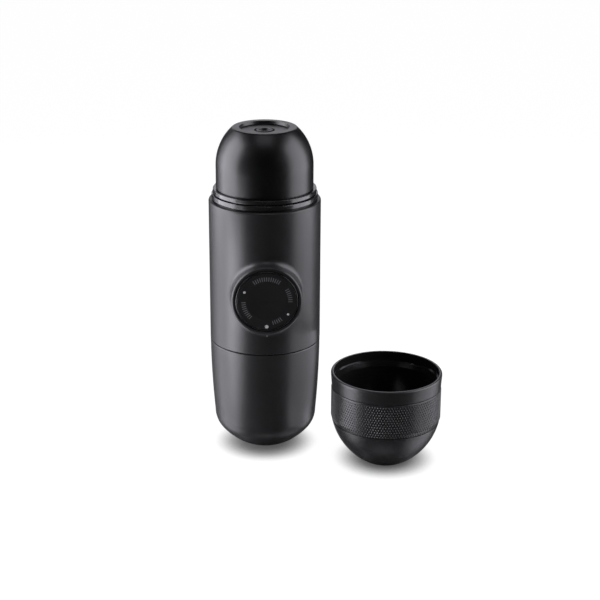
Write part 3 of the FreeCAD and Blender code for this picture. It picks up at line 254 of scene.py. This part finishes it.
# %% [markdown]
# ## The satin dome, the outlet and the knob's face
#
# The dome and the knob's face are darker and smoother than the shell: the mould was blasted finely
# and not eroded. The highlight is tighter, so the middle of the dome turns almost black between
# its two light bands. The outlet in the dome's top is a shade lighter and duller. One recipe does
# all three, with a grain about half as coarse as the shell's.

# %% Satin black
def satin_black(name, tone, roughness, grain_size):
    """Finely blasted black plastic, with faint wiping marks."""
    finish = Finish(name)
    drift = finish.noise(18 * MM, detail=2)
    wiped = finish.noise(1.0 * MM, detail=3, place=finish.stretched((0.08, 0.08, 1.0)))
    handled = finish.noise(9 * MM, detail=4, roughness=0.6).between(0.4, 0.75)
    colour = finish.mix(drift, grey(tone * 0.85, -0.03), grey(tone * 1.15))
    grain = finish.noise(grain_size, detail=2, roughness=0.6)
    dents = finish.bump(grain, 0.008 * MM, 0.5)
    return finish.surface(
        base_color=colour,
        roughness=roughness + 0.03 * handled + 0.02 * wiped,
        specular_ior_level=0.5, normal=dents)


dome_skin = satin_black("satin_dome", 0.001, 0.32, 0.14 * MM)
nozzle_skin = satin_black("satin_nozzle", 0.02, 0.42, 0.12 * MM)
face_skin = satin_black("satin_knob_face", 0.010, 0.36, 0.12 * MM)

# %% [markdown]
# ## Polished black
#
# The two rings at the neck, the knob's rim and the cup's liner are polished ABS. Polish leaves a
# soft mirror, with a slight ripple from the mould and hairlines that only show in the reflection.
# A thin clear coat over a black base gives that double depth. The hairlines are noise that is
# stretched twenty times across the piece. The liner is polished only inside: its collar, outside
# a certain radius, has the shell's grain, and one mask on the distance from the cup's axis does it.

# %% Gloss black
def gloss_black(name, tone, roughness, centre=(0, 0, 0), satin_from=1.0):
    """Polished black plastic with hairlines, and grained instead past the radius `satin_from`."""
    finish = Finish(name)
    across, along, height = finish.axes(centre)
    satin = ((across * across + along * along) ** 0.5).between(satin_from - 0.3 * MM, satin_from)
    drift = finish.noise(12 * MM, detail=2)
    hairs = finish.noise(0.35 * MM, detail=4, place=finish.stretched((0.05, 0.05, 1.0), centre))
    smears = finish.noise(6 * MM, detail=5, roughness=0.65).between(0.45, 0.8)
    colour = finish.mix(drift, grey(tone, -0.03), grey(tone * 1.6))
    colour = finish.mix(satin, colour, grey(0.012))
    grain = finish.noise(0.22 * MM, detail=2, roughness=0.65) * satin
    ripple = finish.bump(finish.noise(5 * MM, detail=1), 0.015 * MM, 0.35)
    scratched = finish.bump(hairs, 0.002 * MM, 0.3, under=ripple)
    scratched = finish.bump(grain, 0.016 * MM, 0.55, under=scratched)
    return finish.surface(
        base_color=colour,
        roughness=roughness + 0.07 * smears + 0.05 * hairs + (0.34 - roughness) * satin,
        coat_weight=(0.35 - 0.2 * smears) * (1 - satin), coat_roughness=0.12,
        specular_ior_level=0.5, normal=scratched)


gloss = gloss_black("polished_black", 0.006, 0.23)
liner_gloss = gloss_black("polished_liner", 0.007, 0.16, CUP_MIDDLE, satin_from=28.2 * MM)

# %% [markdown]
# ## Inside: moulded frame, stainless steel and silicone
#
# Nobody sees these until the head or the tank is unscrewed, and then they fill the view. The
# frame is glass-filled nylon, whose fibres show as faint streaks along the flow. The basket and
# the screens are pressed stainless steel, rolled before they were pressed, so their grain runs one
# way. Springs, screws and the rod are drawn or turned. Silicone is matt and picks up dust.

# %% Moulded nylon
def glass_filled_nylon():
    """Dark nylon with short pale fibres that lie along the flow."""
    finish = Finish("moulded_nylon")
    fibres = finish.noise(0.3 * MM, detail=3, place=finish.stretched((1.0, 1.0, 0.12)))
    swirl = finish.noise(9 * MM, detail=2)
    colour = finish.mix(swirl, grey(0.030, -0.02), grey(0.042))
    colour = finish.mix(fibres.between(0.6, 0.8) * 0.5, colour, grey(0.085))
    dents = finish.bump(fibres, 0.02 * MM, 0.4)
    return finish.surface(base_color=colour, roughness=0.48 + 0.1 * fibres, normal=dents)


def pressed_steel():
    """Rolled and pressed stainless sheet: a straight grain and slight tarnish."""
    finish = Finish("pressed_steel")
    grain = finish.noise(0.08 * MM, detail=3, place=finish.stretched((0.03, 1.0, 1.0)))
    tarnish = finish.noise(6 * MM, detail=4).between(0.4, 0.8)
    colour = finish.mix(tarnish, grey(0.62, 0.01), grey(0.50, 0.05))
    dents = finish.bump(grain, 0.004 * MM, 0.5)
    return finish.surface(base_color=colour, metallic=1.0,
                          roughness=0.22 + 0.14 * grain + 0.08 * tarnish, normal=dents)


def drawn_steel():
    """Turned or drawn steel: fine rings along each piece and an oily sheen."""
    finish = Finish("drawn_steel")
    rings = finish.noise(0.06 * MM, detail=2, place=finish.stretched((0.2, 1.0, 0.2)))
    oil = finish.noise(3 * MM, detail=3)
    colour = finish.mix(oil, grey(0.56, 0.0), grey(0.48, 0.03))
    dents = finish.bump(rings, 0.004 * MM, 0.4)
    return finish.surface(base_color=colour, metallic=1.0,
                          roughness=0.18 + 0.12 * rings + 0.06 * oil, normal=dents)


def silicone():
    """Matt black silicone with a dusting of lint."""
    finish = Finish("silicone")
    lint = 1 - finish.cells(0.9 * MM).between(0.05, 0.16)
    bloom = finish.noise(4 * MM, detail=4).between(0.4, 0.75)
    colour = finish.mix(bloom, grey(0.022), grey(0.034, 0.02))
    colour = finish.mix(lint * 0.45, colour, grey(0.12))
    skin = finish.bump(finish.noise(0.4 * MM, detail=2), 0.01 * MM, 0.5)
    return finish.surface(base_color=colour, roughness=0.62 - 0.08 * bloom, normal=skin)


nylon = glass_filled_nylon()
sheet_steel = pressed_steel()
wire_steel = drawn_steel()
rubber = silicone()

# %% [markdown]
# ## Dress the CAD pieces
#
# Each loaded piece keeps its shape and gets a finish in its own material slot. The record already
# sorts the pieces by slot, and a few are picked out by name where one slot covers two finishes.

# %% A finish for every node
BY_SLOT = {
    "satin_shell": shell, "dark_dome": dome_skin, "gloss_black": gloss,
    "inner_plastic": nylon, "steel": wire_steel, "seal": rubber,
}
BY_NAME = {
    "cup_shell": cup_skin, "cup_liner": liner_gloss, "knob_face": face_skin,
    "outlet_nozzle": nozzle_skin, "filter_basket": sheet_steel, "shower_plate": sheet_steel,
    "outlet_screen": sheet_steel,
}
for part in frame["record"]["subparts"]:
    piece = frame["nodes"][part["node"]]
    finish = BY_NAME.get(part["node"], BY_SLOT[part["material_slot"]])
    for holder in piece.material_slots:
        holder.material = finish

# %% [markdown]
# ## Turning a node tree into a plain mesh
#
# What repeats is best left to Geometry Nodes: one small shape, one rule for where it goes, and a
# few named inputs. The helper below builds a tree, hangs it on an empty mesh, sets the inputs,
# and takes the result off as a plain mesh. An input is set by its identifier, because its name
# isn't a key on the modifier. The tree ends in Realize Instances and Set Material, so that every
# copy is real geometry with its finish on it.

# %% Geometry Nodes helper
class Rule:
    """A Geometry Nodes tree, with a short way to add nodes and named inputs."""

    SOCKETS = {int: "NodeSocketInt", float: "NodeSocketFloat", Vector: "NodeSocketVector"}

    def __init__(self, name):
        self.tree = bpy.data.node_groups.new(name, "GeometryNodeTree")
        self.tree.interface.new_socket("Geometry", in_out="INPUT", socket_type="NodeSocketGeometry")
        self.tree.interface.new_socket("Geometry", in_out="OUTPUT", socket_type="NodeSocketGeometry")
        self.start = self.tree.nodes.new("NodeGroupInput")
        self.settings = {}

    def input(self, name, value):
        """A named input with the value that this build gives it."""
        made = self.tree.interface.new_socket(
            name, in_out="INPUT", socket_type=self.SOCKETS[type(value)])
        self.settings[made.identifier] = value
        return self.wire(self.start.outputs[name])

    def node(self, kind, settings=None, values=None):
        """Add a node: its settings first, then its sockets."""
        return Finish.node(self, kind, settings, values)

    def wire(self, socket):
        return RuleWire(self, socket)

    def finish(self, geometry, material):
        """Make every copy real, put the finish on, and send it out."""
        real = self.node("GeometryNodeRealizeInstances", values={"Geometry": geometry})
        dressed = self.node("GeometryNodeSetMaterial", values={
            "Geometry": real.outputs[0], "Material": material})
        end = self.tree.nodes.new("NodeGroupOutput")
        self.tree.links.new(dressed.outputs[0], end.inputs[0])


class RuleWire(Wire):
    """The same arithmetic on a field of a Geometry Nodes tree, and a few more operations."""

    def floor(self):
        return self._math("FLOOR", self)

    def sine(self):
        return self._math("SINE", self)

    def cosine(self):
        return self._math("COSINE", self)

    def over(self, limit):
        """1 where this is over the limit, and 0 elsewhere."""
        return self._math("GREATER_THAN", self, limit)

    def angle_over(self, other):
        """The angle whose rise is this and whose run is the other."""
        return self._math("ARCTAN2", self, other)

    def remainder(self, other):
        return self._math("MODULO", self, other)


def grown(name, rules):
    """A plain mesh object made by one or more rules in a row."""
    start = bpy.data.objects.new(name + "_start", bpy.data.meshes.new(name + "_start"))
    bpy.context.scene.collection.objects.link(start)
    for rule in rules:
        modifier = start.modifiers.new(rule.tree.name, "NODES")
        modifier.node_group = rule.tree
        for identifier, value in rule.settings.items():
            modifier[identifier] = value
    graph = bpy.context.evaluated_depsgraph_get()
    mesh = bpy.data.meshes.new_from_object(start.evaluated_get(graph))
    start.modifiers.clear()
    bpy.data.objects.remove(start)
    mesh.name = name
    piece = bpy.data.objects.new(name, mesh)
    bpy.context.scene.collection.objects.link(piece)
    print(name, "has", len(mesh.polygons), "faces")
    return piece


# %% [markdown]
# ## The cup's knurling
#
# A band of small raised lozenges gives the fingers a grip round the cup. On the mould they are
# cut by a wheel that rolls round and round, each row half a pitch on from the last. Modelling more
# than sixteen hundred lozenges by hand is hopeless, and a bump map has no outline at the cup's
# edge. So one low pyramid is copied onto a wrapped grid of points. The lowest row follows the
# band's taper, where the pyramids lean with the wall.

# %% Knurling rule
TAPER = 0.68 / 2.4        # how far the band's foot leans in, for each millimetre down
SUNK = 0.06 * MM          # how deep each lozenge's base lies in the wall


def knurl_rule(material):
    """Lozenges in staggered rows, on a band with a straight part over a taper."""
    rule = Rule("knurl")
    columns = rule.input("Columns", 128)
    rows = rule.input("Rows", 13)
    centre = rule.input("Centre", Vector((CUP_MIDDLE.x, CUP_MIDDLE.y, 0)))
    radius = rule.input("Band radius", 28.6 * MM)
    low = rule.input("Low", CUP_SEAM - 18.0 * MM)
    high = rule.input("High", CUP_SEAM - 1.5 * MM)
    break_height = rule.input("Taper top", CUP_SEAM - 16.5 * MM)
    slope = rule.input("Taper slope", TAPER)
    width = rule.input("Lozenge width", 1.12 * MM)
    tall = rule.input("Lozenge height", 1.5 * MM)
    proud = rule.input("Lozenge proud", 0.2 * MM)

    grid = rule.node("GeometryNodeMeshGrid", values={
        "Size X": 1.0, "Size Y": 1.0, "Vertices X": columns, "Vertices Y": rows})
    position = rule.node("GeometryNodeInputPosition").outputs[0]
    flat = rule.node("ShaderNodeSeparateXYZ", values={0: position})
    across = rule.wire(flat.outputs[0]) + 0.5
    up = rule.wire(flat.outputs[1]) + 0.5
    row = (up * (rows - 1) + 0.5).floor()
    column = (across * (columns - 1) + 0.5).floor()
    angle = (column + row.remainder(2) * 0.5) * math.tau / columns
    height = low + up * (high - low)
    below = (break_height - height) * (break_height - height).over(0)
    reach = radius - below * slope - SUNK

    place = rule.node("ShaderNodeCombineXYZ", values={
        0: reach * angle.cosine(), 1: reach * angle.sine(), 2: height})
    put = rule.node("ShaderNodeVectorMath", {"operation": "ADD"}, {0: place.outputs[0], 1: centre})
    points = rule.node("GeometryNodeSetPosition", values={
        "Geometry": grid.outputs["Mesh"], "Position": put.outputs[0]})
    # The copies read the position again, after the move: it's now the place on the band.
    from_axis = rule.node("ShaderNodeVectorMath", {"operation": "SUBTRACT"}, {0: position, 1: centre})
    on_band = rule.node("ShaderNodeSeparateXYZ", values={0: from_axis.outputs[0]})
    out_x, out_y, out_z = [rule.wire(output) for output in on_band.outputs]
    leaning = (break_height - out_z).over(0) * math.atan(TAPER)
    turn = rule.node("ShaderNodeCombineXYZ", values={
        1: leaning + math.pi / 2, 2: out_y.angle_over(out_x)})
    lozenge = rule.node("GeometryNodeMeshCone", {"fill_type": "NGON"}, {
        "Vertices": 4, "Radius Top": 0.3, "Radius Bottom": 1.0, "Depth": 1.0})
    size = rule.node("ShaderNodeCombineXYZ", values={
        0: tall / 2, 1: width / 2, 2: proud + SUNK})
    copies = rule.node("GeometryNodeInstanceOnPoints", values={
        "Points": points.outputs[0], "Instance": lozenge.outputs["Mesh"],
        "Rotation": turn.outputs[0], "Scale": size.outputs[0]})
    rule.finish(copies.outputs[0], material)
    return rule


knurl = grown("cup_knurl", [knurl_rule(cup_skin)])
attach(knurl, "cup")

# %% [markdown]
# ## Ink for the dial
#
# The knob's face is pad-printed: a pale dot shows which way the knob points, and two smaller dots
# show where it locks and unlocks. Graduations fill the arcs between them. Print lies on top of
# the plastic as a film a few hundredths of a millimetre thick, so the marks are thin solids on
# the face, and their ink is a little patchy, as pad printing is.

# %% Printing ink
def printing_ink(name, tone):
    """Pad-printed ink: pale, matt and slightly patchy."""
    finish = Finish(name)
    patches = finish.noise(0.5 * MM, detail=4).between(0.3, 0.7)
    screen = finish.noise(0.12 * MM, detail=1)
    colour = finish.mix(patches, grey(tone * 0.8), grey(tone, 0.01))
    return finish.surface(base_color=colour, roughness=0.5 + 0.1 * screen,
                          normal=finish.bump(screen, 0.004 * MM, 0.4))


pale_ink = printing_ink("pale_ink", 0.62)
dim_ink = printing_ink("dim_ink", 0.19)

# %% Where the dial is
face_low, face_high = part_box("knob_face")
DIAL = Vector(((face_low.x + face_high.x) / 2, face_low.y, (face_low.z + face_high.z) / 2))
print("dial centre", [round(value / MM, 2) for value in DIAL], "mm")


def graduation_rule(name, count, first, step, radius, length):
    """Fine upright ticks round part of the dial, joined to whatever came before."""
    rule = Rule(name)
    ticks = rule.input("Ticks", count)
    start = rule.input("First angle", math.radians(first))
    apart = rule.input("Angle apart", math.radians(step))
    reach = rule.input("Radius", radius)
    long = rule.input("Tick length", length)
    wide = rule.input("Tick width", 0.34 * MM)
    thick = rule.input("Ink thickness", 0.03 * MM)
    line = rule.node("GeometryNodeMeshLine", values={"Count": ticks})
    index = rule.wire(rule.node("GeometryNodeInputIndex").outputs[0])
    angle = start + index * apart
    place = rule.node("ShaderNodeCombineXYZ", values={
        0: reach * angle.cosine() + DIAL.x, 1: DIAL.y - thick / 2,
        2: reach * angle.sine() + DIAL.z})
    points = rule.node("GeometryNodeSetPosition", values={
        "Geometry": line.outputs["Mesh"], "Position": place.outputs[0]})
    turn = rule.node("ShaderNodeCombineXYZ", values={1: 0 - angle})
    size = rule.node("ShaderNodeCombineXYZ", values={0: long, 1: thick, 2: wide})
    tick = rule.node("GeometryNodeMeshCube", values={"Size": (1.0, 1.0, 1.0)})
    copies = rule.node("GeometryNodeInstanceOnPoints", values={
        "Points": points.outputs[0], "Instance": tick.outputs["Mesh"],
        "Rotation": turn.outputs[0], "Scale": size.outputs[0]})
    joined = rule.node("GeometryNodeJoinGeometry")
    rule.tree.links.new(copies.outputs[0], joined.inputs[0])
    rule.tree.links.new(rule.start.outputs["Geometry"], joined.inputs[0])
    rule.finish(joined.outputs[0], dim_ink)
    return rule


# %% [markdown]
# Four arcs of ticks share one rule, each adding its own ticks to the mesh that the last one made.
# The dots are built one by one: three rings of corners, each a little smaller, so that a dot has a
# soft crowned edge.

# %% Graduations and dots
ARCS = [("top_arc", 13, 58), ("right_arc", 7, -1), ("lower_arc", 5, -75), ("left_arc", 9, 182)]
TICK_STEP = 5.4           # degrees
graduations = grown("dial_graduations", [
    graduation_rule(name, count, first, TICK_STEP, 11.9 * MM, 2.2 * MM)
    for name, count, first in ARCS])
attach(graduations, "knob")


DOT_SIDES = 32


def low_disc(mesh, centre, radius, thick):
    """A thin round dot facing -Y, with a slightly crowned face."""
    rings = [(0.0, radius), (thick * 0.7, radius * 0.93), (thick, radius * 0.6)]
    corners = [math.tau * step / DOT_SIDES for step in range(DOT_SIDES)]
    loops = []
    for rise, reach in rings:
        loops.append([mesh.verts.new((
            centre.x + reach * math.cos(corner), centre.y - rise,
            centre.z + reach * math.sin(corner))) for corner in corners])
    for under, over in zip(loops, loops[1:]):
        for step in range(DOT_SIDES):
            following = (step + 1) % DOT_SIDES
            mesh.faces.new((under[step], under[following], over[following], over[step]))
    mesh.faces.new(loops[-1])
    mesh.faces.new(list(reversed(loops[0])))


def piece_from(mesh, name, material):
    """A finished piece from a bmesh, with its faces turned outwards."""
    bmesh.ops.recalc_face_normals(mesh, faces=mesh.faces)
    data = bpy.data.meshes.new(name)
    mesh.to_mesh(data)
    mesh.free()
    data.materials.append(material)
    piece = bpy.data.objects.new(name, data)
    bpy.context.scene.collection.objects.link(piece)
    print(name, "has", len(data.polygons), "faces")
    return piece


def on_dial(angle, radius):
    """A place on the dial's flat rim, by clock angle from its +X side."""
    turned = math.radians(angle)
    return DIAL + radius * Vector((math.cos(turned), 0, math.sin(turned)))


dots = bmesh.new()
low_disc(dots, on_dial(-90.5, 13.6 * MM), 0.95 * MM, 0.04 * MM)
low_disc(dots, on_dial(-33, 12.8 * MM), 0.62 * MM, 0.04 * MM)
low_disc(dots, on_dial(156, 12.4 * MM), 0.66 * MM, 0.04 * MM)
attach(piece_from(dots, "dial_dots", pale_ink), "knob")

# %% [markdown]
# ## The index on the body
#
# The dial needs something to point at. A small mark on the rim under the knob is enough: the pale
# dot lines up with it when the pump is locked.

# %% Index mark
RIM_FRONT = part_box("body_sleeve")[0].y
mark = bmesh.new()
low_disc(mark, Vector((DIAL.x, RIM_FRONT, DIAL.z - 18.7 * MM)), 0.42 * MM, 0.03 * MM)
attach(piece_from(mark, "index_mark", dim_ink), "main_body")

# %% [markdown]
# ## The studio floor
#
# The floor is a sheet of white acrylic. To the maker it is half a mirror, so that light from the
# low parts of the soft boxes reaches the tank by way of it. To the camera it is white paper that
# glows, with a soft grey shadow painted into its glow close to whatever stands on it, taken from
# an ambient occlusion node. A Light Path node tells the two apart.

# %% Floor
def studio_floor():
    """White acrylic: it mirrors the soft boxes, and the camera sees only its glowing white and a
    painted shadow.
    """
    finish = Finish("studio_floor")
    seen = finish.node("ShaderNodeLightPath").outputs["Is Camera Ray"]
    shade = finish.node("ShaderNodeAmbientOcclusion", {"samples": 16}, {"Distance": 15 * MM})
    near = Wire(finish, shade.outputs["AO"]).between(0.15, 0.8)
    # Painted shadow: the camera's white glow is darkened near the pieces by ambient occlusion, not by
    # the lamps.
    tone = finish.mix(near, grey(0.09), grey(0.99))
    paper = finish.node("ShaderNodeBsdfDiffuse", values={"Color": grey(0.07)})
    polish = finish.node("ShaderNodeBsdfGlossy", values={"Color": grey(0.95), "Roughness": 0.2})
    acrylic = finish.node("ShaderNodeMixShader", values={
        0: 0.55, 1: paper.outputs[0], 2: polish.outputs[0]})
    glow = finish.node("ShaderNodeEmission", values={"Color": tone, "Strength": 1.0})
    white = finish.node("ShaderNodeAddShader", values={0: paper.outputs[0], 1: glow.outputs[0]})
    choice = finish.node("ShaderNodeMixShader", values={
        0: seen, 1: acrylic.outputs[0], 2: white.outputs[0]})
    finish.node("ShaderNodeOutputMaterial", values={"Surface": choice.outputs[0]})
    return finish.material


ground = bmesh.new()
bmesh.ops.create_grid(ground, x_segments=1, y_segments=1, size=2.0)
for corner in ground.verts:
    corner.co.z = -0.05 * MM
floor = piece_from(ground, "floor", studio_floor())

# %% [markdown]
# The surround works the same way: it is white to the camera and nearly black to the maker, so it
# adds almost no light.

# %% World
world = bpy.data.worlds.new("studio")
bpy.context.scene.world = world
world.use_nodes = True
sky = world.node_tree
sky.nodes.clear()
path = sky.nodes.new("ShaderNodeLightPath")
dim = sky.nodes.new("ShaderNodeBackground")
dim.inputs["Color"].default_value = grey(1.0)
dim.inputs["Strength"].default_value = 0.016
white = sky.nodes.new("ShaderNodeBackground")
white.inputs["Color"].default_value = grey(1.0)
white.inputs["Strength"].default_value = 1.0
either = sky.nodes.new("ShaderNodeMixShader")
end = sky.nodes.new("ShaderNodeOutputWorld")
sky.links.new(path.outputs["Is Camera Ray"], either.inputs[0])
sky.links.new(dim.outputs[0], either.inputs[1])
sky.links.new(white.outputs[0], either.inputs[2])
sky.links.new(either.outputs[0], end.inputs[0])
print("the surround is white to the camera and dim to everything else")

# %% [markdown]
# ## Soft boxes
#
# Black plastic is lit by what it reflects. Tall soft boxes left and right give each upright piece
# two light bands with a dark middle, and the left one is stronger. A small low box in front of the
# left one brightens the body's band, a narrow one behind it keeps the outline from going black,
# and weak ones above and behind lift the dome's shoulder and its dished top. A lit card in the
# gap between the tank and the cup gives back the light that the cup takes from the tank. None of
# them is seen by the camera, and each one's strength is its radiance, so a bigger box isn't
# brighter.

# %% Soft boxes
LAMP_COLOUR = (1.01, 1.0, 1.08)        # daylight tubes, a touch cool


def soft_box(name, place, target, size, radiance):
    """A soft box at one place that faces another."""
    lamp = bpy.data.lights.new(name, "AREA")
    lamp.shape = "RECTANGLE"
    lamp.size, lamp.size_y = size
    lamp.energy = radiance * math.pi * size[0] * size[1]
    lamp.color = LAMP_COLOUR
    box = bpy.data.objects.new(name, lamp)
    bpy.context.scene.collection.objects.link(box)
    box.location = place
    box.rotation_euler = (target - place).to_track_quat("-Z", "Y").to_euler()
    box.visible_camera = False
    print(name, "at", [round(value, 2) for value in place])


def round_box(name, azimuth, distance, height, size, aim, radiance):
    """A soft box that faces a height on the axis; azimuth is from the -Y side towards +X."""
    turned = math.radians(azimuth)
    place = Vector((distance * math.sin(turned), -distance * math.cos(turned), height))
    soft_box(name, place, Vector((0, 0, aim)), size, radiance)


round_box("left_box", -93, 0.36, 0.25, (0.34, 0.48), 0.25, 5.7)
round_box("low_left_box", -63, 0.20, 0.038, (0.11, 0.076), 0.038, 7.2)
round_box("right_box", 86, 0.36, 0.25, (0.36, 0.48), 0.25, 3.6)
round_box("top_box", 0, 0.25, 0.85, (0.45, 0.40), 0.16, 1.0)
round_box("rim_box", -128, 0.40, 0.25, (0.10, 0.48), 0.25, 1.4)
round_box("back_box", 180, 0.60, 0.34, (0.50, 0.22), 0.17, 1.0)
CARD = Vector((31.5 * MM, -25 * MM, 34 * MM))
soft_box("card", CARD, CARD - Vector((1, 0, 0)), (34 * MM, 64 * MM), 1.15)

# %% [markdown]
# ## The camera
#
# The camera stands about 80 cm away, above the maker, and looks down on it by 20 degrees. From
# there the seams open into ellipses, flatter towards the top, and the sides still stay nearly
# parallel. A slight lens shift frames the maker and its cup together without leaning them.

# %% Camera
lens = bpy.data.cameras.new("camera")
lens.sensor_width = 36.0
lens.lens = 94.3
lens.shift_x = 0.0333
lens.clip_start = 0.05
lens.clip_end = 20.0
camera = bpy.data.objects.new("camera", lens)
bpy.context.scene.collection.objects.link(camera)
camera.location = (-20.7 * MM, -780.0 * MM, 364.1 * MM)
camera.rotation_euler = Euler((math.radians(90 - 19.94), 0, math.radians(-2.1)))
bpy.context.scene.camera = camera
bpy.context.scene.view_settings.view_transform = "Standard"
print(f"lens {lens.lens:.1f} mm")
